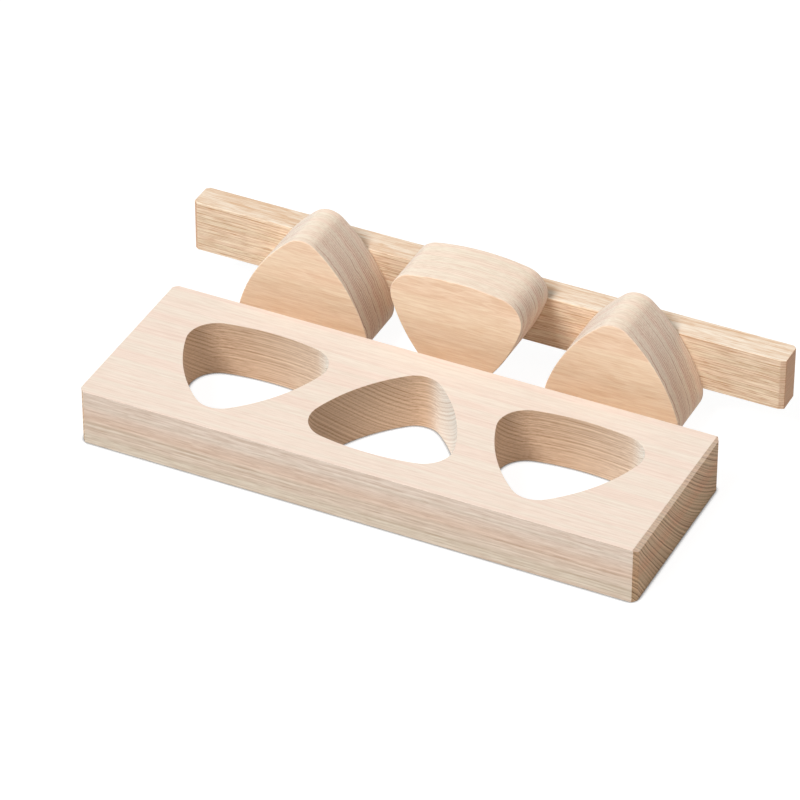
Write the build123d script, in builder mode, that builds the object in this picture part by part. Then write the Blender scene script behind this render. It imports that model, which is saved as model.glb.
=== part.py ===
from build123d import *
from math import atan2, degrees, hypot, sqrt
import os

# Wooden rice mold with its separate pusher, laid out ready for use: the board lies flat in front,
# the pusher lies behind it on the flats and tips of its plungers, pressing faces towards the board.
# Origin: centre of the footprint, on the table. +X along the board, +Y from the board to the bar.
# The board lies board_shift to the right of the pusher.

# Mold board
board_length = 287.0
board_depth = 97.5
board_height = 29.5
end_chamfer = 2.5

# Three-sided opening, its six arcs tangent to each other. The row of openings lies opening_shift
# nearer to the board's front than its middle.
opening_width = 72.9
opening_height = 66.3
corner_radius = 14.8
apex_radius = 13.0
base_arc_radius = 128.0
side_arc_radius = 89.0
opening_pitch = 81.7
opening_shift = 0.6

# Pusher
plunger_clearance = 1.9
plunger_depth = 31.0
plunger_edge = 0.5
bar_length = 314.0
bar_thickness = 14.8
bar_height = 28.0
pusher_gap = 16.8
board_shift = 0.9

# Countersunk wood screws, two to a plunger
screw_radius = 1.75
screw_head_radius = 3.5
screw_head_angle = 90.0
screw_length = 35.0
screw_tip = 4.0
screw_spacing = 30.0
screw_hole_clearance = 0.1
recess_length = 4.0
recess_width = 0.9
recess_depth = 1.6
recess_taper = 12.0

# Places that follow from the sizes
footprint_depth = board_depth + pusher_gap + plunger_depth + bar_thickness
board_y = (board_depth - footprint_depth) / 2
opening_y = board_y - opening_shift
face_y = board_y + board_depth / 2 + pusher_gap
bar_y = face_y + plunger_depth
bar_back_y = bar_y + bar_thickness
plunger_height = opening_height - 2 * plunger_clearance
pusher_z = plunger_height / 2

# Opening's arc centres, about the middle of its own box, base towards +Y
corner_x = opening_width / 2 - corner_radius
base_y = opening_height / 2 - base_arc_radius
corner_y = base_y + sqrt((base_arc_radius - corner_radius) ** 2 - corner_x**2)
apex_y = apex_radius - opening_height / 2

# Right-hand side's centre: the point at the right distance from both the apex and corner centres
centres_apart = hypot(corner_x, corner_y - apex_y)
apex_reach = side_arc_radius - apex_radius
corner_reach = side_arc_radius - corner_radius
along = (apex_reach**2 - corner_reach**2 + centres_apart**2) / (2 * centres_apart)
across = sqrt(apex_reach**2 - along**2)
side_x = (along * corner_x - across * (corner_y - apex_y)) / centres_apart
side_y = apex_y + (along * (corner_y - apex_y) + across * corner_x) / centres_apart

# Directions in which neighbouring arcs touch
base_angle = degrees(atan2(corner_y - base_y, corner_x))
side_angle = degrees(atan2(corner_y - side_y, corner_x - side_x))
apex_angle = degrees(atan2(apex_y - side_y, -side_x))

# Middle of each opening and its plunger, and which way the opening's base points (+1 to the bar)
places = {
    "left": (-opening_pitch, 1),
    "middle": (0.0, -1),
    "right": (opening_pitch, 1),
}


def draw_outline(inset):
    """Six tangent arcs of the opening, each drawn inset millimetres inside it."""
    CenterArc((0, base_y), base_arc_radius - inset, base_angle, 180 - 2 * base_angle)
    corner = CenterArc(
        (corner_x, corner_y), corner_radius - inset, side_angle, base_angle - side_angle
    )
    side = CenterArc(
        (side_x, side_y), side_arc_radius - inset, apex_angle, side_angle - apex_angle
    )
    mirror([corner, side], about=Plane.YZ)
    CenterArc((0, apex_y), apex_radius - inset, -180 - apex_angle, 180 + 2 * apex_angle)


# Board: one plank, its ends chamfered all round, with three openings straight through it
with BuildPart() as mold_board:
    with BuildSketch(Plane((board_shift, board_y, 0))):
        Rectangle(board_length, board_depth)
    extrude(amount=board_height)
    end_edges = mold_board.faces().filter_by(Axis.X).edges()
    chamfer(end_edges, length=end_chamfer)
    for place_x, turn in places.values():
        with BuildSketch(Plane((board_shift + place_x, opening_y, 0), x_dir=(turn, 0, 0))):
            with BuildLine():
                draw_outline(0)
            make_face()
    extrude(amount=board_height, mode=Mode.SUBTRACT)

# Screw: flat head with a cross recess, plain shank where the thread would be, pointed tip
head_depth = screw_head_radius - screw_radius
with BuildPart() as screw:
    with BuildSketch(Plane.XZ):
        with BuildLine():
            Polyline(
                (0, 0),
                (screw_head_radius, 0),
                (screw_radius, -head_depth),
                (screw_radius, screw_tip - screw_length),
                (0, -screw_length),
                close=True,
            )
        make_face()
    revolve(axis=Axis.Z)
    with BuildSketch(Plane.XY):
        Rectangle(recess_length, recess_width)
        Rectangle(recess_width, recess_length)
    extrude(amount=-recess_depth, taper=recess_taper, mode=Mode.SUBTRACT)

# Middle of every screw head, on the bar's back face, looking out of it
screw_seats = [
    Plane(
        (place_x + side * screw_spacing / 2, bar_back_y, pusher_z),
        x_dir=(1, 0, 0),
        z_dir=(0, 1, 0),
    )
    for place_x, _ in places.values()
    for side in (-1, 1)
]

# Bar: the pusher's handle, its ends chamfered like the board's
with BuildPart() as pusher_bar:
    with BuildSketch(Plane((0, bar_back_y, pusher_z), x_dir=(1, 0, 0), z_dir=(0, 1, 0))):
        Rectangle(bar_length, bar_height)
    extrude(amount=-bar_thickness)
    end_edges = pusher_bar.faces().filter_by(Axis.X).edges()
    chamfer(end_edges, length=end_chamfer)
    with Locations(*screw_seats):
        CounterSinkHole(
            screw_radius + screw_hole_clearance,
            screw_head_radius,
            counter_sink_angle=screw_head_angle,
        )

# Screws: the same screw in every seat
with BuildPart() as bar_screws:
    with Locations(*screw_seats):
        add(screw.part)

# Plungers: the opening's outline less the clearance, turned as its opening will be met
plungers = {}
for name, (place_x, turn) in places.items():
    with BuildPart() as plunger:
        with BuildSketch(Plane((place_x, face_y, pusher_z), x_dir=(-turn, 0, 0), z_dir=(0, -1, 0))):
            with BuildLine():
                draw_outline(plunger_clearance)
            make_face()
        extrude(amount=-plunger_depth)
        front_edges = plunger.faces().sort_by(Axis.Y)[0].edges()
        chamfer(front_edges, length=plunger_edge)
        with BuildSketch(Plane((place_x, bar_y, pusher_z), x_dir=(1, 0, 0), z_dir=(0, 1, 0))):
            with GridLocations(screw_spacing, 0, 2, 1):
                Circle(screw_radius)
        extrude(amount=bar_thickness - screw_length, mode=Mode.SUBTRACT)
    plungers[f"plunger_{name}"] = plunger.part

# Files, one for each piece
parts = {
    "mold_board": mold_board.part,
    "pusher_bar": pusher_bar.part,
    "bar_screws": bar_screws.part,
    **plungers,
}
os.makedirs("parts", exist_ok=True)
for name, part in parts.items():
    part.label = name
    export_step(part, f"parts/{name}.step")
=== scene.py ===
# %% [markdown]
# # A wooden rice mold and its pusher
#
# The real object is two loose pieces of pale softwood. The first is a thick board with three rounded
# triangular openings. The second is a bar that carries three plungers of the same outline, a little
# smaller, so that rice packed into an opening can be pushed out as a neat cake.
#
# The solids already hold every size, so this lesson only gives them their surfaces: crisp planed
# arrises, growth rings that run right through each piece, end grain, and a plain studio.

# %% Load the fixed frame
from math import cos, degrees, hypot, radians, sin, sqrt
import bmesh
import bpy
import numpy as np
from mathutils import Matrix, Vector


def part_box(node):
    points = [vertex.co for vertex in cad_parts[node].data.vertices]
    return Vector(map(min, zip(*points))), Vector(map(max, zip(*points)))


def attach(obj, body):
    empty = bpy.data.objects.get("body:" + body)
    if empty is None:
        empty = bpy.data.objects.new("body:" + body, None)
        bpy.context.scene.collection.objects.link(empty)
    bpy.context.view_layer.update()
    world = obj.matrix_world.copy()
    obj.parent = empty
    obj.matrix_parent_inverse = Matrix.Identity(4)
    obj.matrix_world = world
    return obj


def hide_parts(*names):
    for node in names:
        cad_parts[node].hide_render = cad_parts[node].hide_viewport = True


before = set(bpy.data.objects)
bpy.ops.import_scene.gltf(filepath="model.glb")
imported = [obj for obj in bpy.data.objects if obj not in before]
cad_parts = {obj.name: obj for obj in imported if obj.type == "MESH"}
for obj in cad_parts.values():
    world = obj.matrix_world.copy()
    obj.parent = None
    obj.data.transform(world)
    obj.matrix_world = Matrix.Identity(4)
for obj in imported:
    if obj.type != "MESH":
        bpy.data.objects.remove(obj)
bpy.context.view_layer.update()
MM = 0.001

# %% [markdown]
# ## Sizes
#
# Lengths, places and clearances that the frame can tell are read from it, because then the surfaces
# always sit where the solids are. Only what a box can't tell is written here: the opening, the radii
# of its arcs, and the screws.

# %% Read the pieces' boxes and name the remaining sizes
board_low, board_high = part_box("mold_board")
bar_low, bar_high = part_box("pusher_bar")
board_centre = (board_low + board_high) / 2
bar_centre = (bar_low + bar_high) / 2

OPENING_WIDTH = 72.9 * MM
OPENING_HEIGHT = 66.3 * MM
OPENING_PITCH = 81.7 * MM
OPENING_SHIFT = 0.6 * MM
CORNER_RADIUS = 14.8 * MM
APEX_RADIUS = 13.0 * MM
BASE_ARC_RADIUS = 128.0 * MM
SIDE_ARC_RADIUS = 89.0 * MM
SCREW_RADIUS = 1.85 * MM
SCREW_HEAD_RADIUS = 3.5 * MM
SCREW_SPACING = 30.0 * MM
PLUNGERS = {"plunger_left": 1, "plunger_middle": -1, "plunger_right": 1}
print("board, mm:", [round(v / MM, 1) for v in board_high - board_low])

# %% [markdown]
# ## The outline
#
# Openings and plungers share one outline of six arcs, each tangent to the next: a long flat base,
# two corners, two sides and the apex. On such a convex outline each direction is square to it at
# just one point. So the whole outline is a function of one angle: find the arc that faces that way,
# and go from its centre by its radius. A smaller radius everywhere gives the plunger, the same
# distance inside all round, which is why no scaled copy is used.

# %% Work out the arcs
corner_x = OPENING_WIDTH / 2 - CORNER_RADIUS
base_y = OPENING_HEIGHT / 2 - BASE_ARC_RADIUS
corner_y = base_y + sqrt((BASE_ARC_RADIUS - CORNER_RADIUS) ** 2 - corner_x**2)
apex_y = APEX_RADIUS - OPENING_HEIGHT / 2
centres_apart = hypot(corner_x, corner_y - apex_y)
apex_reach = SIDE_ARC_RADIUS - APEX_RADIUS
corner_reach = SIDE_ARC_RADIUS - CORNER_RADIUS
along = (apex_reach**2 - corner_reach**2 + centres_apart**2) / (2 * centres_apart)
across = sqrt(apex_reach**2 - along**2)
side_x = (along * corner_x - across * (corner_y - apex_y)) / centres_apart
side_y = apex_y + (along * (corner_y - apex_y) + across * corner_x) / centres_apart

apex_turn = np.arctan2(apex_y - side_y, -side_x)
side_turn = np.arctan2(corner_y - side_y, corner_x - side_x)
base_turn = np.arctan2(corner_y - base_y, corner_x)
ARC_STARTS = np.array(
    [apex_turn, side_turn, base_turn, np.pi - base_turn, np.pi - side_turn, np.pi - apex_turn]
)
ARC_CENTRES = np.array(
    [
        (side_x, side_y),
        (corner_x, corner_y),
        (0.0, base_y),
        (-corner_x, corner_y),
        (-side_x, side_y),
        (0.0, apex_y),
    ]
)
ARC_RADII = np.array(
    [SIDE_ARC_RADIUS, CORNER_RADIUS, BASE_ARC_RADIUS, CORNER_RADIUS, SIDE_ARC_RADIUS, APEX_RADIUS]
)
print("arcs start at, degrees:", np.round(np.degrees(ARC_STARTS), 1))

# %% The outline function
OUTLINE_TABLE = 2001
OUTLINE_CHECKS = 721


def outline(facing, inset=0.0):
    """Points of the outline, base towards +y: arc centre plus (arc radius less inset) times the
    unit vector that faces the given angle, with the arc picked by that angle."""
    turned = (facing - ARC_STARTS[0]) % (2 * np.pi) + ARC_STARTS[0]
    arc = np.searchsorted(ARC_STARTS, turned, side="right") - 1
    direction = np.stack([np.cos(facing), np.sin(facing)], axis=-1)
    return ARC_CENTRES[arc] + (ARC_RADII[arc] - inset)[..., None] * direction


def outline_towards(polar, inset=0.0):
    """The outline's points seen from its middle in the given directions: the facing angle is read
    off a fine table of polar angle against facing angle, then put through the formula."""
    facing = np.linspace(-np.pi, np.pi, OUTLINE_TABLE)
    seen = outline(facing, inset)
    seen_polar = np.unwrap(np.arctan2(seen[:, 1], seen[:, 0]))
    shift = 2 * np.pi * np.floor((polar - seen_polar[0]) / (2 * np.pi))
    return outline(np.interp(polar - shift, seen_polar, facing), inset)


sampled = outline(np.linspace(0, 2 * np.pi, OUTLINE_CHECKS))
print("opening, mm:", np.round(np.ptp(sampled, axis=0) / MM, 2))

# %% [markdown]
# ## Turning arrays into pieces
#
# Every new piece below is worked out as whole arrays of points and four-sided faces. One helper
# puts them into a mesh, welds the seams and points all faces outwards. Then it planes corners off:
# each stroke is a plane that cuts the piece and closes the cut. Last, the arrises are rounded by
# half a millimetre, as a few strokes of fine paper do on the real wood. A live Bevel modifier is
# used for the rounding: it finds the arrises by their angle, and its hardened normals keep the flat
# faces looking flat.

# %% Helpers for grids and strokes
WELD = 0.001 * MM


def closed_rows(rows, count):
    """Four-sided faces between neighbouring rows of a grid whose rows close on themselves."""
    here = np.arange(count)
    after = (here + 1) % count
    start = np.arange(rows - 1)[:, None] * count
    faces = [start + here, start + after, start + count + after, start + count + here]
    return np.stack(faces, axis=-1).reshape(-1, 4)


def stroke(low, high, corner, reach):
    """The plane that takes a corner off a box, as (point, normal). corner holds the corner's side
    of the box along each axis, -1 or 1, and reach how far the cut runs from it, 0 for never."""
    sides = np.array(corner, float)
    point = np.where(sides > 0, high, low)
    point[0] -= sides[0] * reach[0]
    normal = [side / length if length else 0.0 for side, length in zip(sides, reach)]
    return point, normal


def plane_off(work, strokes):
    """Cut away what lies outside each stroke's plane, and close the cut with a face."""
    for point, normal in strokes:
        parts = [*work.verts, *work.edges, *work.faces]
        planes = {"plane_co": point, "plane_no": normal, "dist": WELD}
        cut = bmesh.ops.bisect_plane(work, geom=parts, clear_outer=True, **planes)["geom_cut"]
        rim_edges = [part for part in cut if isinstance(part, bmesh.types.BMEdge)]
        bmesh.ops.holes_fill(work, edges=rim_edges)


# %% Helpers that make a piece
ARRIS = 0.5 * MM
ARRIS_SEGMENTS = 3
ARRIS_ANGLE = radians(20)


def round_arrises(piece):
    """A live bevel on every edge that turns by more than the arris angle."""
    bevel = piece.modifiers.new("arris", "BEVEL")
    bevel.width = ARRIS
    bevel.segments = ARRIS_SEGMENTS
    bevel.limit_method = "ANGLE"
    bevel.angle_limit = ARRIS_ANGLE
    bevel.harden_normals = True


def make_piece(name, grids, body, node, strokes=()):
    """One welded mesh from several (points, faces) grids, with its corners planed off by strokes,
    riding on a body in place of a node."""
    offsets = np.cumsum([0] + [len(points) for points, _ in grids[:-1]])
    points = np.concatenate([points for points, _ in grids])
    faces = np.concatenate([faces + offset for (_, faces), offset in zip(grids, offsets)])
    mesh = bpy.data.meshes.new(name)
    mesh.from_pydata(points.tolist(), [], faces.tolist())
    work = bmesh.new()
    work.from_mesh(mesh)
    bmesh.ops.remove_doubles(work, verts=work.verts, dist=WELD)
    bmesh.ops.recalc_face_normals(work, faces=work.faces)
    plane_off(work, strokes)
    bmesh.ops.recalc_face_normals(work, faces=work.faces)
    open_edges = sum(not edge.is_manifold for edge in work.edges)
    work.to_mesh(mesh)
    work.free()
    mesh.polygons.foreach_set("use_smooth", np.ones(len(mesh.polygons), bool))
    piece = bpy.data.objects.new(name, mesh)
    bpy.context.scene.collection.objects.link(piece)
    round_arrises(piece)
    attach(piece, body)
    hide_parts(node)
    print(f"{name}: {len(mesh.polygons)} faces, {open_edges} open edges")
    return piece


# %% [markdown]
# ## A plank with holes
#
# Board and bar are the same kind of thing: a plank with a row of holes through it. The plank is cut
# in thought into one cell for each hole. Each cell is a grid: it starts on the cell's rim
# underneath, runs in to the hole, up the hole's wall, and out to the cell's rim on top. The sides
# are one more grid, a loop round the plank carried from the bottom to the top. Neighbours share
# their rim points, so the weld closes everything.
#
# A boolean cut would be shorter, but it leaves long thin triangles that shade badly once the
# arrises are rounded.

# %% The plank function
CELL_STEPS = 24
WIDTH_STEPS = 40


def rim(u, v):
    """Points round the rectangle that the values u and v span, from its low corner along u."""
    across, along = len(v) - 1, len(u) - 1
    rim_u = np.concatenate([u[:-1], np.full(across, u[-1]), u[:0:-1], np.full(across, u[0])])
    rim_v = np.concatenate([np.full(along, v[0]), v[:-1], np.full(along, v[-1]), v[:0:-1]])
    return np.column_stack([rim_u, rim_v])


def stacked(rows):
    """One grid from (points, w) rows: each row of u and v values at its height w."""
    points = [np.column_stack([row, np.full(len(row), w)]) for row, w in rows]
    return np.concatenate(points), closed_rows(len(rows), len(rows[0][0]))


def plank(length, width, thickness, centres, hole, levels):
    """Grids of a plank lying on w = 0, with u along it and v across it.
    hole(polar, i, growth) gives hole i's points, seen from its middle, grown by growth.
    levels lists (w, growth) up the hole's wall."""
    middles = (np.array(centres[:-1]) + np.array(centres[1:])) / 2
    borders = [-length / 2, *middles, length / 2]
    cells = [np.linspace(left, right, CELL_STEPS + 1) for left, right in zip(borders, borders[1:])]
    v = np.linspace(-width / 2, width / 2, WIDTH_STEPS + 1)
    grids = []
    for i, (centre, u) in enumerate(zip(centres, cells)):
        cell = rim(u, v)
        polar = np.arctan2(cell[:, 1], cell[:, 0] - centre)
        wall = [(hole(polar, i, growth) + (centre, 0.0), w) for w, growth in levels]
        grids.append(stacked([(cell, 0.0), *wall, (cell, thickness)]))
    whole = rim(np.unique(np.concatenate(cells)), v)
    return [*grids, stacked([(whole, 0.0), (whole, thickness)])]


def placed(grids, matrix):
    """The same grids turned and moved by a 3 x 4 matrix: rows x, y, z, columns u, v, w and shift."""
    turn, shift = matrix[:, :3], matrix[:, 3]
    return [(points @ turn.T + shift, faces) for points, faces in grids]


# %% [markdown]
# ## The board
#
# Its three openings are the outline straight down, with the middle one turned about. The ends were
# planed by hand: a stroke down each upright corner, and one along the top of the far end that is
# wider at the front and fades towards the back.

# %% Make the board
BOARD_TURNS = (1, -1, 1)
BOARD_STROKES = [
    ((1, -1, 1), (2.5 * MM, 325.0 * MM, 1.7 * MM)),
    ((1, -1, 0), (2.0 * MM, 2.6 * MM, 0.0)),
    ((1, 1, 0), (1.2 * MM, 2.2 * MM, 0.0)),
    ((-1, -1, 0), (2.5 * MM, 3.2 * MM, 0.0)),
    ((-1, 1, 0), (2.0 * MM, 2.2 * MM, 0.0)),
]
WALL_LEVELS = (0.0, 0.33, 0.67, 1.0)
board_size = board_high - board_low


def board_hole(polar, index, growth):
    """The outline, turned half round where its base faces the front."""
    half_turn = 0.0 if BOARD_TURNS[index] > 0 else np.pi
    edge = outline_towards(polar + half_turn, -growth) * BOARD_TURNS[index]
    return edge - (0.0, OPENING_SHIFT)


board_grids = plank(
    board_size.x,
    board_size.y,
    board_size.z,
    [-OPENING_PITCH, 0.0, OPENING_PITCH],
    board_hole,
    [(w * board_size.z, 0.0) for w in WALL_LEVELS],
)
board_place = np.array([[1, 0, 0, board_centre.x], [0, 1, 0, board_centre.y], [0, 0, 1, 0.0]])
board = make_piece(
    "board",
    placed(board_grids, board_place),
    "board",
    "mold_board",
    [stroke(board_low, board_high, *planed) for planed in BOARD_STROKES],
)

# %% [markdown]
# ## The bar
#
# The bar is a plank on edge. Its top, w, faces backwards, and its holes are the six countersunk
# seats of the screws: a cone at the mouth, then a plain bore. The strokes down its upright corners
# are flatter than the board's.

# %% Make the bar
BAR_STROKES = [
    ((1, -1, 0), (2.8 * MM, 1.3 * MM, 0.0)),
    ((1, 1, 0), (1.7 * MM, 1.8 * MM, 0.0)),
    ((-1, -1, 0), (1.8 * MM, 1.3 * MM, 0.0)),
    ((-1, 1, 0), (1.7 * MM, 1.8 * MM, 0.0)),
]
bar_size = bar_high - bar_low
plunger_middles = [sum(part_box(name), Vector()).x / 2 for name in PLUNGERS]
screw_places = [m + s * SCREW_SPACING / 2 for m in plunger_middles for s in (-1, 1)]


def bar_hole(polar, index, growth):
    """A circle round the screw, of the screw hole's radius plus growth."""
    direction = np.stack([np.cos(polar), np.sin(polar)], axis=-1)
    return (SCREW_RADIUS + growth) * direction


countersink = SCREW_HEAD_RADIUS - SCREW_RADIUS
bar_grids = plank(
    bar_size.x,
    bar_size.z,
    bar_size.y,
    [place - bar_centre.x for place in screw_places],
    bar_hole,
    [(0.0, 0.0), (bar_size.y - countersink, 0.0), (bar_size.y, countersink)],
)
bar_place = np.array([[1, 0, 0, bar_centre.x], [0, 0, 1, bar_low.y], [0, -1, 0, bar_centre.z]])
bar = make_piece(
    "bar",
    placed(bar_grids, bar_place),
    "pusher",
    "pusher_bar",
    [stroke(bar_low, bar_high, *planed) for planed in BAR_STROKES],
)

# %% [markdown]
# ## The plungers
#
# A plunger is the outline carried straight back from its pressing face. Both flat faces are closed
# by rings that shrink to a point in the middle, so that the piece has no many-sided faces.

# %% Make the plungers
OUTLINE_STEPS = 180
FACE_RINGS = (0.02, 0.35, 0.7, 1.0)


def plunger_grid(name, turn):
    """Rows of the outline: growing rings on the front face, the side, shrinking rings behind."""
    low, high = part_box(name)
    inset = (OPENING_HEIGHT - (high.z - low.z)) / 2
    edge = outline(np.linspace(0, 2 * np.pi, OUTLINE_STEPS, endpoint=False), inset)
    scales = np.array([0.0, *FACE_RINGS, *FACE_RINGS[::-1], 0.0])
    half = len(scales) // 2
    depth = np.repeat([low.y, high.y], half)
    u = scales[:, None] * edge[:, 0] * -turn + (low.x + high.x) / 2
    w = scales[:, None] * edge[:, 1] * -turn + (low.z + high.z) / 2
    y = np.broadcast_to(depth[:, None], u.shape)
    points = np.stack([u, y, w], axis=-1).reshape(-1, 3)
    return points, closed_rows(len(scales), OUTLINE_STEPS)


plungers = []
for name, turn in PLUNGERS.items():
    block = name.replace("plunger", "block")
    grid = plunger_grid(name, turn)
    plungers.append(make_piece(block, [grid], "pusher", name))

# %% [markdown]
# ## Wood
#
# A tree adds a layer of wood every year: pale and spongy in spring, thin and darker in summer. The
# layers are tubes round the heart of the trunk, and every face of a sawn piece shows a different cut
# through them: fine parallel lines, broad flames, or arcs on the end grain. So the pattern here isn't
# laid on the surface. It is worked out in space, from the distance to the heart, and each face just
# shows where it cuts it. Lines then run round every corner and down into the openings, as they do
# on the real board.
#
# A Wave texture could draw such rings with one node, but its rings are all the same width and
# strength. Here they are built from the radius, so that each year can have its own.

# %% Helpers for shader nodes
MIX_FIRST, MIX_SECOND, MIX_COLOUR = 6, 7, 2


def add_node(tree, kind, inputs=None, **settings):
    """A new shader node. Its inputs, by name or number, are linked to a socket or set to a value."""
    node = tree.nodes.new("ShaderNode" + kind)
    for setting, value in settings.items():
        setattr(node, setting, value)
    for key, value in (inputs or {}).items():
        if isinstance(value, bpy.types.NodeSocket):
            tree.links.new(value, node.inputs[key])
        else:
            node.inputs[key].default_value = value
    return node


def maths(tree, operation, *values):
    """One Math node: the operation on up to three values."""
    return add_node(tree, "Math", dict(enumerate(values)), operation=operation).outputs[0]


def mix(tree, share, first, second, way="MIX"):
    """The first colour going over to the second as share goes from 0 to 1."""
    sockets = {0: share, MIX_FIRST: first, MIX_SECOND: second}
    return add_node(tree, "Mix", sockets, data_type="RGBA", blend_type=way).outputs[MIX_COLOUR]


def rescale(tree, value, low, high, to_low=0.0, to_high=1.0):
    """The value stretched from low..high to to_low..to_high, with soft ends and no overshoot."""
    sockets = {"Value": value, "From Min": low, "From Max": high, "To Min": to_low, "To Max": to_high}
    return add_node(tree, "MapRange", sockets, interpolation_type="SMOOTHSTEP").outputs["Result"]


def noise(tree, place, along, across, detail=2.0, shift=0.0):
    """Soft noise in blobs of about along by across millimetres, the long way with the fibres."""
    squeeze = {"Vector": place, "Location": (shift,) * 3, "Scale": (1 / along, 1 / across, 1 / across)}
    squeezed = add_node(tree, "Mapping", squeeze).outputs["Vector"]
    return add_node(tree, "TexNoise", {"Vector": squeezed, "Scale": 1.0, "Detail": detail})


def line_noise(tree, value, scale, detail):
    """Soft noise that depends on one value only, in blobs of about 1 / scale of it."""
    sockets = {"W": value, "Scale": scale, "Detail": detail}
    return add_node(tree, "TexNoise", sockets, noise_dimensions="1D").outputs[0]


def ramp(tree, share, stops):
    """A colour that goes softly through (position, colour) stops as share goes from 0 to 1."""
    node = add_node(tree, "ValToRGB", {"Fac": share})
    node.color_ramp.interpolation = "EASE"
    elements = node.color_ramp.elements
    for position, _ in stops[1:-1]:
        elements.new(position)
    for element, (position, colour) in zip(elements, stops):
        element.position = position
        element.color = colour
    return node.outputs["Color"]


def paint(red, green, blue):
    """A colour given as 0..255 screen values, as the shader's linear light."""
    screen = np.array([red, green, blue]) / 255
    linear = np.where(screen <= 0.04045, screen / 12.92, ((screen + 0.055) / 1.055) ** 2.4)
    return (*linear.tolist(), 1.0)


# %% [markdown]
# The rings first. The distance from the heart line, bent a little by slow noise because no trunk is
# straight, is divided by the width of a year. The whole part of the result numbers the year, and the
# fraction says how far through it a point is. A colour ramp turns that fraction into the summer
# line: a slow rise, then a sharp end at the winter stop. The year's number picks how strong its
# line is. Noise along the same count of years, with no regard to where else a point is, draws what
# goes with the rings: fine threads within a year, and bands of several years that are warmer.

# %% Numbers for the growth rings
# (part of the year, darkness) along one year
YEAR = ((0.0, 0.0), (0.45, 0.1), (0.75, 0.4), (0.92, 1.0), (1.0, 0.0))
# Noises over space, as (mm along the fibres, mm across them, detail)
WAVES = (330.0, 55.0, 1.0)
RIPPLES = (38.0, 7.0, 2.0)
# Noises over the count of years, as (blobs in a year, detail, shift)
THREADS = (2.6, 2.0, 0.0)
BANDS = (1 / 3.2, 1.0, 40.0)
UNEVEN = (1 / 6, 2.0, 80.0)
# The values of those noises at which a thread or a band starts and is full
THREAD_GROWS = (0.25, 0.75)
BAND_GROWS = (0.35, 0.65)
UNEVEN_YEARS = 2.4


# %% The growth rings
def growth_rings(tree, place, year_width, bend, ripple, faintest):
    """Summer line, thread and band at a place in mm, each 0 to 1: distance to the X axis of the
    bent place, over the year's width, made uneven, split into year and part of the year. bend and
    ripple are how far the waves and ripples push a line, and faintest the weakest line's strength."""
    waves = noise(tree, place, *WAVES).outputs["Color"]
    ripples = noise(tree, place, *RIPPLES).outputs["Color"]
    bent = place
    for colour, size in ((waves, bend), (ripples, ripple)):
        sockets = {0: colour, 1: (0.0, size, size), 2: bent}
        bent = add_node(tree, "VectorMath", sockets, operation="MULTIPLY_ADD").outputs["Vector"]
    flat = add_node(tree, "VectorMath", {0: bent, 1: (0.0, 1.0, 1.0)}, operation="MULTIPLY")
    radius = add_node(tree, "VectorMath", {0: flat.outputs["Vector"]}, operation="LENGTH")
    years = maths(tree, "DIVIDE", radius.outputs["Value"], year_width)

    def along_years(blobs, detail, shift):
        moved = maths(tree, "MULTIPLY_ADD", years, blobs, shift)
        return line_noise(tree, moved, 1.0, detail)

    thread = rescale(tree, along_years(*THREADS), *THREAD_GROWS)
    band = rescale(tree, along_years(*BANDS), *BAND_GROWS)
    years = maths(tree, "MULTIPLY_ADD", along_years(*UNEVEN), UNEVEN_YEARS, years)
    stops = [(position, (level, level, level, 1.0)) for position, level in YEAR]
    summer = ramp(tree, maths(tree, "FRACT", years), stops)
    luck = add_node(tree, "TexWhiteNoise", {"W": maths(tree, "FLOOR", years)}, noise_dimensions="1D")
    strength = rescale(tree, luck.outputs["Value"], 0.0, 1.0, faintest, 1.0)
    return maths(tree, "MULTIPLY", summer, strength), thread, band


# %% [markdown]
# Then the colours. The three ways to cut the wood look different: end grain drinks light and shows
# the rings darkest, the sawn sides are warm, and the sanded top is palest. Part of the top's paleness
# and the sides' warmth is painted light: the top, lit from above, is painted paler, and the sides
# warmer as painted warm shade. The squares of the three parts of a surface's direction always add
# up to one, so they serve as the shares of the three cuts. The end's share rises early, because
# fibres cut even at a slant drink light.
#
# Each cut has a pale and a dark colour, and one number, the tone, says how far a point is from pale
# to dark. Lines, threads, and short flecks and dashes where the plane opened a fibre are added up in
# it. A patchy noise lets the lines of the sides fade in and out, because no line on planed wood is
# even all the way. On end grain they stay sharp.

# %% The tone: how dark each point is
# Noises over space, as (mm along the fibres, mm across them, detail, shift)
FLECKS = (11.0, 0.7, 3.0, 0.0)
DASHES = (6.0, 0.4, 1.0, 57.0)
GRIT = (2.0, 0.6, 2.0, 31.0)
PATCHES = (70.0, 2.5, 2.0, 7.0)
# The values of those noises at which a mark starts and is full
FLECK_GROWS = (0.32, 0.68)
DASH_GROWS = (0.54, 0.68)
GRIT_GROWS = (0.3, 0.7)
# The same for the patches, and the strengths of the lines where they start and are full
PATCH_GROWS = (0.3, 0.7, 0.5, 1.1)


def weighed(tree, values, weights):
    """The sum of the values, each times its weight."""
    total = 0.0
    for value, weight in zip(values, weights):
        total = maths(tree, "MULTIPLY_ADD", value, weight, total)
    return total


def tones(tree, place, line, thread, parts, end_parts):
    """The tone of the sides, that of the ends, and the flecks' plain noise. parts are how much
    summer lines, threads, flecks and dashes add to the tone of the sides, and end_parts how much
    lines, threads and grit add to that of the ends."""
    fleck, dash, grit, patch = [
        noise(tree, place, *kind).outputs[0] for kind in (FLECKS, DASHES, GRIT, PATCHES)
    ]
    lines = weighed(tree, (line, thread), parts[:2])
    opened = rescale(tree, fleck, *FLECK_GROWS), rescale(tree, dash, *DASH_GROWS)
    patchy = rescale(tree, patch, *PATCH_GROWS)
    side = maths(tree, "MULTIPLY_ADD", lines, patchy, weighed(tree, opened, parts[2:]))
    end = weighed(tree, (line, thread, rescale(tree, grit, *GRIT_GROWS)), end_parts)
    return side, end, fleck
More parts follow.
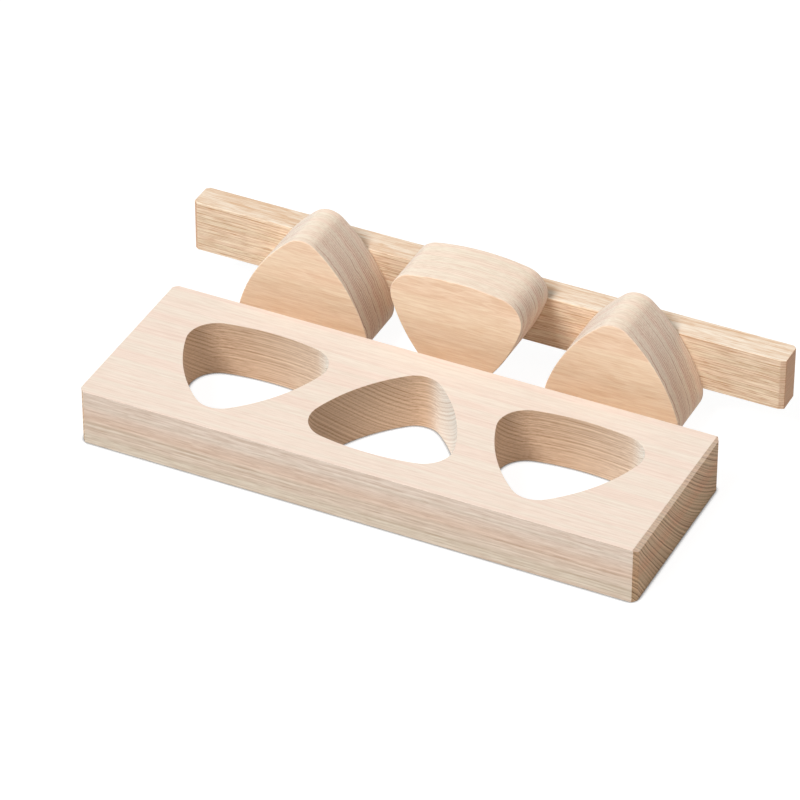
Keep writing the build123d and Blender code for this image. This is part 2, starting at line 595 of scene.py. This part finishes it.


# %% [markdown]
# Two more things change the colour. The first is that wood isn't of one colour all through, so each
# band of years and each layer of a plank tints it a little. On the plungers the tint by height is
# painted light instead: warm bounce light and shade, more orange towards the table. A tint is
# multiplied in, as a thin wash of stain would be, and so keeps the lines as strong as they were.

# %% Tints
COOL_TINT = (254, 255, 252)
WARM_TINT = (255, 250, 247)
GREYER_TINT = (245, 244, 240)
# Painted warm bounce light and shade, low on the plungers
REDDER_TINT = (250, 236, 230)
WARM_BOUNCE_TINT = (255, 244, 233)
NO_TINT = (255, 255, 255)


def tinted(tree, colour, tint):
    """The colour seen through the tint: one times the other."""
    return mix(tree, 1.0, colour, tint, "MULTIPLY")


def layer_and_bounce_tint(tree, coordinates, layers_and_bounce):
    """The tint at each height, from (mm above the table, tint) stops that start at 0."""
    top = layers_and_bounce[-1][0]
    height = add_node(tree, "SeparateXYZ", {0: coordinates["Object"]}).outputs[2]
    share = maths(tree, "DIVIDE", height, top * MM)
    return ramp(tree, share, [(above / top, paint(*tint)) for above, tint in layers_and_bounce])


# %% [markdown]
# The second is the walls of the openings. They are raw from the cutter, which left fine level lines.
# Where they face left, towards the lamps on the left, they are painted paler: painted light. A point
# lies on such a wall when it faces sideways and is well inside the board's outline, so no face has to
# be picked by hand.

# %% Raw walls
# Distances inside the outline between which the walls start and are full
WALL_STARTS = (3 * MM, 5 * MM)
# Upward parts of a surface's direction between which it stops being a wall
UPWARD_FADES = (0.3, 0.8)
# Rightward parts of a wall's direction between which the painted light, paler on walls facing
# left, goes over to raw
LIT_FROM_LEFT_FADES = (-0.85, 0.15)
CUTTER_LINE = 1.0
CUTTER_DETAIL = 2.0
CUTTER_GROWS = (0.3, 0.7)
# How much of the tone the cutter's lines take, on walls along the fibres and across them
CUTTER_SHARES = (0.45, 0.12)


def inner_walls(tree, coordinates, low, high):
    """1 on what faces sideways well inside a box, seen from above, and 0 elsewhere."""
    middle, half = (low + high) / 2, (high - low) / 2
    off = add_node(tree, "VectorMath", {0: coordinates["Object"], 1: middle}, operation="SUBTRACT")
    off = add_node(tree, "VectorMath", {0: off.outputs["Vector"]}, operation="ABSOLUTE")
    depth = add_node(tree, "VectorMath", {0: half, 1: off.outputs["Vector"]}, operation="SUBTRACT")
    depth = add_node(tree, "SeparateXYZ", {0: depth.outputs["Vector"]}).outputs
    inside = rescale(tree, maths(tree, "MINIMUM", depth[0], depth[1]), *WALL_STARTS)
    upward = add_node(tree, "SeparateXYZ", {0: coordinates["Normal"]}).outputs[2]
    sideways = rescale(tree, maths(tree, "ABSOLUTE", upward), *UPWARD_FADES, 1.0, 0.0)
    return maths(tree, "MULTIPLY", inside, sideways)


def cutter_tone(tree, place, tone, end_share):
    """The tone with the cutter's level lines in it: noise over the height alone."""
    height = add_node(tree, "SeparateXYZ", {0: place}).outputs[2]
    lines = rescale(tree, line_noise(tree, height, 1 / CUTTER_LINE, CUTTER_DETAIL), *CUTTER_GROWS)
    return mix(tree, rescale(tree, end_share, 0.0, 1.0, *CUTTER_SHARES), tone, lines)


def wall_colour(tree, normal, tone, raw, lit_from_left):
    """A wall's colour from its tone: raw, going over to a paler painted light as it faces left."""
    raw, lit_from_left = [mix(tree, tone, paint(*pale), paint(*dark)) for pale, dark in (raw, lit_from_left)]
    across = add_node(tree, "SeparateXYZ", {0: normal}).outputs[0]
    return mix(tree, rescale(tree, across, *LIT_FROM_LEFT_FADES, 1.0, 0.0), raw, lit_from_left)


# %% [markdown]
# One function now puts a whole finish together: place, rings, shares of the cuts, tone, colour,
# and at last the surface's feel. Dark marks lie a little deeper than the rest, and flecks are
# rougher.

# %% The wood finish
WOOD_ROUGHNESS = 0.54
FLECK_ROUGHNESS = 0.16
WOOD_GLOSS = 0.28
RELIEF_DEPTH = 0.15 * MM
RELIEF_STRENGTH = 0.35


def wood(name, heart, rings, colours, parts, end_parts, slant, layers_and_bounce=(), walls=()):
    """A material for one kind of plank. heart is the place of the heart line, (x, y, z) in mm, and
    rings what growth_rings needs. colours are the (pale, dark) colours of top, front and end, and
    parts and end_parts what tones needs. slant gives the squares of a direction's X part at which
    the end's share starts and is full. walls are the two corners of the box whose inner walls are
    raw, and the (pale, dark) colours of raw walls and of walls facing left, painted paler as
    painted light."""
    material = bpy.data.materials.new(name)
    material.use_nodes = True
    tree = material.node_tree
    shader = tree.nodes["Principled BSDF"]
    coordinates = add_node(tree, "TexCoord").outputs
    to_heart = {
        "Vector": coordinates["Object"],
        "Location": tuple(-part for part in heart),
        "Scale": (1 / MM,) * 3,
    }
    place = add_node(tree, "Mapping", to_heart).outputs["Vector"]
    line, thread, band = growth_rings(tree, place, **rings)

    normal = coordinates["Normal"]
    squares = add_node(tree, "VectorMath", {0: normal, 1: normal}, operation="MULTIPLY")
    cut = add_node(tree, "SeparateXYZ", {0: squares.outputs["Vector"]}).outputs
    end_share = rescale(tree, cut[0], *slant)
    side_tone, end_tone, fleck = tones(tree, place, line, thread, parts, end_parts)
    tone = mix(tree, end_share, side_tone, end_tone)

    top, front, end = [mix(tree, tone, paint(*pale), paint(*dark)) for pale, dark in colours]
    # Top paler and sides warmer: the wood's own cuts, and partly painted light and shade.
    colour = mix(tree, end_share, mix(tree, cut[1], top, front), end)
    colour = tinted(tree, colour, mix(tree, band, paint(*COOL_TINT), paint(*WARM_TINT)))
    # Tints by height: layers of the board, and on the plungers painted warm bounce light and shade.
    if layers_and_bounce:
        colour = tinted(tree, colour, layer_and_bounce_tint(tree, coordinates, layers_and_bounce))
    if walls:
        low, high, raw, lit_from_left = walls
        tone = cutter_tone(tree, place, tone, end_share)
        inner = wall_colour(tree, normal, tone, raw, lit_from_left)
        colour = mix(tree, inner_walls(tree, coordinates, low, high), colour, inner)
    tree.links.new(colour, shader.inputs["Base Color"])

    relief = {
        "Height": maths(tree, "MULTIPLY", tone, -1.0),
        "Strength": RELIEF_STRENGTH,
        "Distance": RELIEF_DEPTH,
    }
    tree.links.new(add_node(tree, "Bump", relief).outputs["Normal"], shader.inputs["Normal"])
    rough = maths(tree, "MULTIPLY_ADD", fleck, FLECK_ROUGHNESS, WOOD_ROUGHNESS)
    tree.links.new(rough, shader.inputs["Roughness"])
    shader.inputs["Specular IOR Level"].default_value = WOOD_GLOSS
    print(f"{name}: {len(tree.nodes)} nodes")
    return material


# %% [markdown]
# The board's rings are wide and its end grain is dark. A redder layer runs through the middle of its
# thickness, with greyer wood below. It alone has raw inner walls.

# %% The board's finish
board_wood = wood(
    "board_wood",
    heart=(0.0, 110.0, 160.0),
    rings={"year_width": 1.9, "bend": 6.0, "ripple": 0.4, "faintest": 0.4},
    colours=(
        ((249, 236, 225), (234, 215, 202)),
        ((233, 222, 211), (191, 169, 151)),
        ((241, 209, 174), (123, 84, 57)),
    ),
    parts=(0.4, 0.38, 0.38, 0.22),
    end_parts=(0.8, 0.4, 0.2),
    slant=(0.12, 0.5),
    layers_and_bounce=((0.0, GREYER_TINT), (10.0, GREYER_TINT), (15.0, REDDER_TINT), (24.0, NO_TINT)),
    walls=(
        board_low,
        board_high,
        ((238, 211, 184), (176, 138, 106)),
        # Paler colours of the walls that face left: painted light from the lamps on the left.
        ((255, 250, 241), (208, 188, 169)),
    ),
)
board.data.materials.append(board_wood)

# %% [markdown]
# The bar was sawn from another stick, yellower and with narrow rings. Its heart line lies near, so
# the lines on its faces are strong.

# %% The bar's finish
bar_wood = wood(
    "bar_wood",
    heart=(0.0, 70.0, -60.0),
    rings={"year_width": 1.4, "bend": 13.0, "ripple": 0.6, "faintest": 0.5},
    colours=(
        ((255, 247, 234), (220, 184, 149)),
        ((255, 241, 219), (200, 160, 125)),
        ((223, 183, 150), (186, 142, 114)),
    ),
    parts=(0.65, 0.45, 0.4, 0.3),
    end_parts=(0.6, 0.4, 0.3),
    slant=(0.02, 0.35),
)
bar.data.materials.append(bar_wood)

# %% [markdown]
# The plungers' rings lie flat behind their pressing faces. So the faces show hardly any line, and
# the slopes many wavy ones. Towards the table they are painted more orange: painted warm bounce
# light and shade.

# %% The plungers' finish
plunger_wood = wood(
    "plunger_wood",
    heart=(0.0, 400.0, 20.0),
    rings={"year_width": 1.3, "bend": 5.0, "ripple": 2.9, "faintest": 0.2},
    colours=(
        ((255, 242, 227), (232, 211, 192)),
        ((252, 232, 209), (230, 197, 166)),
        ((255, 248, 235), (178, 115, 93)),
    ),
    parts=(0.5, 0.4, 0.45, 0.2),
    end_parts=(0.9, 0.2, 0.2),
    slant=(0.1, 0.8),
    layers_and_bounce=((0.0, WARM_BOUNCE_TINT), (60.0, NO_TINT)),
)
for plunger in plungers:
    plunger.data.materials.append(plunger_wood)

# %% [markdown]
# ## The screws
#
# Six plain stainless screws. Their shape comes with the frame, so they only need a finish: turned
# steel, a little rougher and darker in places.

# %% The screws' finish
STEEL_PALE = (206, 206, 203)
STEEL_DARK = (176, 176, 174)
STEEL_WEAR = {"Scale": 900.0, "Detail": 3.0}
STEEL_WEAR_GROWS = (0.2, 0.8)
STEEL_ROUGHNESS = (0.24, 0.42)

steel = bpy.data.materials.new("screw_steel")
steel.use_nodes = True
tree = steel.node_tree
steel_shader = tree.nodes["Principled BSDF"]
steel_place = add_node(tree, "TexCoord").outputs["Object"]
wear = add_node(tree, "TexNoise", {"Vector": steel_place, **STEEL_WEAR}).outputs[0]
steel_colour = mix(tree, wear, paint(*STEEL_PALE), paint(*STEEL_DARK))
steel_roughness = rescale(tree, wear, *STEEL_WEAR_GROWS, *STEEL_ROUGHNESS)
tree.links.new(steel_colour, steel_shader.inputs["Base Color"])
tree.links.new(steel_roughness, steel_shader.inputs["Roughness"])
steel_shader.inputs["Metallic"].default_value = 1.0
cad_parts["bar_screws"].data.materials.clear()
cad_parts["bar_screws"].data.materials.append(steel)
print(f"screw_steel: {len(tree.nodes)} nodes")

# %% [markdown]
# ## Floor, light and camera
#
# The photograph is a catalogue picture: white all round, soft light, and a long lens. The floor is a
# pale matt sheet. Part of what the camera sees of it is a steady white, so it comes out white and
# still keeps a soft shadow under the wood. That part is switched by the ray's kind, so it puts no
# light on the object. Right beside the wood it gives way, and the thin dark line where a thing
# touches its table remains. Ambient occlusion, which asks how much is near a point, finds that place.

# %% Make the floor
FLOOR_HALF = 1.5
FLOOR_DROP = 0.02 * MM
FLOOR_COLOUR = (0.65, 0.65, 0.65, 1.0)
FLOOR_WHITE = 0.75
FLOOR_WHITE_LEVEL = 1.25
CONTACT_REACH = 3.0 * MM
CONTACT_SAMPLES = 8
# How open the floor is where its white is least, and where it is full
CONTACT_GROWS = (0.4, 0.85)
CONTACT_WHITE_LEVEL = 0.0625


def seen_rays(tree, level):
    """The level where the ray comes from the camera, or from a mirror or glass it sees, else 0."""
    path = add_node(tree, "LightPath").outputs
    seen = maths(tree, "MAXIMUM", path["Is Camera Ray"], path["Is Glossy Ray"])
    seen = maths(tree, "MAXIMUM", seen, path["Is Transmission Ray"])
    return maths(tree, "MULTIPLY", seen, level)


floor_corners = FLOOR_HALF * np.array([(-1, -1, 0), (1, -1, 0), (1, 1, 0), (-1, 1, 0)], float)
floor_corners[:, 2] = -FLOOR_DROP
floor_mesh = bpy.data.meshes.new("floor")
floor_mesh.from_pydata(floor_corners.tolist(), [], [(0, 1, 2, 3)])
floor = bpy.data.objects.new("floor", floor_mesh)
bpy.context.scene.collection.objects.link(floor)

paper = bpy.data.materials.new("floor_paper")
paper.use_nodes = True
tree = paper.node_tree
matt = add_node(tree, "BsdfDiffuse", {"Color": FLOOR_COLOUR})
nearby = {"Distance": CONTACT_REACH}
openness = add_node(tree, "AmbientOcclusion", nearby, samples=CONTACT_SAMPLES).outputs["AO"]
strength = rescale(tree, openness, *CONTACT_GROWS, CONTACT_WHITE_LEVEL, FLOOR_WHITE_LEVEL)
white = add_node(tree, "Emission", {"Strength": strength})
share = seen_rays(tree, FLOOR_WHITE)
sheet = add_node(tree, "MixShader", {0: share, 1: matt.outputs[0], 2: white.outputs[0]})
tree.links.new(sheet.outputs[0], tree.nodes["Material Output"].inputs["Surface"])
floor_mesh.materials.append(paper)
print("floor, m across:", 2 * FLOOR_HALF)

# %% [markdown]
# The world is split in the same way: the camera sees it plain white, and the object is lit by a
# weak, slightly warm glow from all sides, as in a room with pale walls.

# %% Make the world
WORLD_LIGHT = 0.21
WORLD_TINT = (1.0, 0.94, 0.87, 1.0)
WHITE = (1.0, 1.0, 1.0, 1.0)

world = bpy.data.worlds.new("studio")
bpy.context.scene.world = world
world.use_nodes = True
tree = world.node_tree
background = tree.nodes["Background"]
seen = seen_rays(tree, 1.0)
tree.links.new(mix(tree, seen, WORLD_TINT, WHITE), background.inputs["Color"])
level = maths(tree, "MULTIPLY_ADD", seen, 1.0 - WORLD_LIGHT, WORLD_LIGHT)
tree.links.new(level, background.inputs["Strength"])
print("world's light on the object:", WORLD_LIGHT)

# %% [markdown]
# Three broad lamps light the wood. The key hangs high on the left and models the shapes. A weak warm
# fill on the right keeps the shaded slopes soft. And a low cool one on the left stands for a window,
# because whatever faces left in the photograph is paler and less orange than the rest.

# %% Hang the lamps
def hang(name, direction, angle, energy, colour):
    """A sun lamp that shines from the given direction, as wide in the sky as its angle says."""
    lamp = bpy.data.lights.new(name, "SUN")
    lamp.angle = radians(angle)
    lamp.energy = energy
    lamp.color = colour
    holder = bpy.data.objects.new(name, lamp)
    holder.rotation_euler = (-direction).to_track_quat("-Z", "Y").to_euler()
    bpy.context.scene.collection.objects.link(holder)
    height = 90 - degrees(direction.angle(Vector((0, 0, 1))))
    print(f"{name}: {height:.1f} degrees above the table")


hang("key", Vector((-0.32, -0.56, 0.77)), angle=26, energy=2.76, colour=(1.0, 0.95, 0.92))
hang("fill", Vector((0.62, -0.35, 0.70)), angle=50, energy=0.47, colour=(1.0, 0.94, 0.87))
hang("window", Vector((-0.85, -0.3, 0.4)), angle=60, energy=0.55, colour=(0.2, 0.7, 1.0))

# %% [markdown]
# The camera stands where the photograph's did. Its place was worked out from the board's corners,
# whose real sizes are known: the way the long edges draw together gives the distance, and how much
# of the top shows gives the height.

# %% Place the camera
CAMERA_AZIMUTH = radians(25.638)
CAMERA_ELEVATION = radians(35.897)
CAMERA_ROLL = radians(0.099)
CAMERA_DISTANCE = 2351.2 * MM
TARGET_FROM_BOARD = Vector((-21.135, 46.976, 0.0)) * MM
SENSOR_WIDTH = 36.0
LENS = 220.27

back = Vector(
    (
        sin(CAMERA_AZIMUTH) * cos(CAMERA_ELEVATION),
        -cos(CAMERA_AZIMUTH) * cos(CAMERA_ELEVATION),
        sin(CAMERA_ELEVATION),
    )
)
level = Vector((0, 0, 1)).cross(back).normalized()
upright = back.cross(level)
right = level * cos(CAMERA_ROLL) + upright * sin(CAMERA_ROLL)
up = back.cross(right)
target = Vector((board_centre.x, board_centre.y, 0.0)) + TARGET_FROM_BOARD
camera_data = bpy.data.cameras.new("camera")
camera_data.sensor_width = SENSOR_WIDTH
camera_data.lens = LENS
camera = bpy.data.objects.new("camera", camera_data)
axes = Matrix((right, up, back)).transposed().to_4x4()
camera.matrix_world = Matrix.Translation(target + back * CAMERA_DISTANCE) @ axes
bpy.context.scene.collection.objects.link(camera)
bpy.context.scene.camera = camera
bpy.context.scene.view_settings.view_transform = "Standard"
print("camera at, mm:", [round(v / MM) for v in camera.matrix_world.translation])
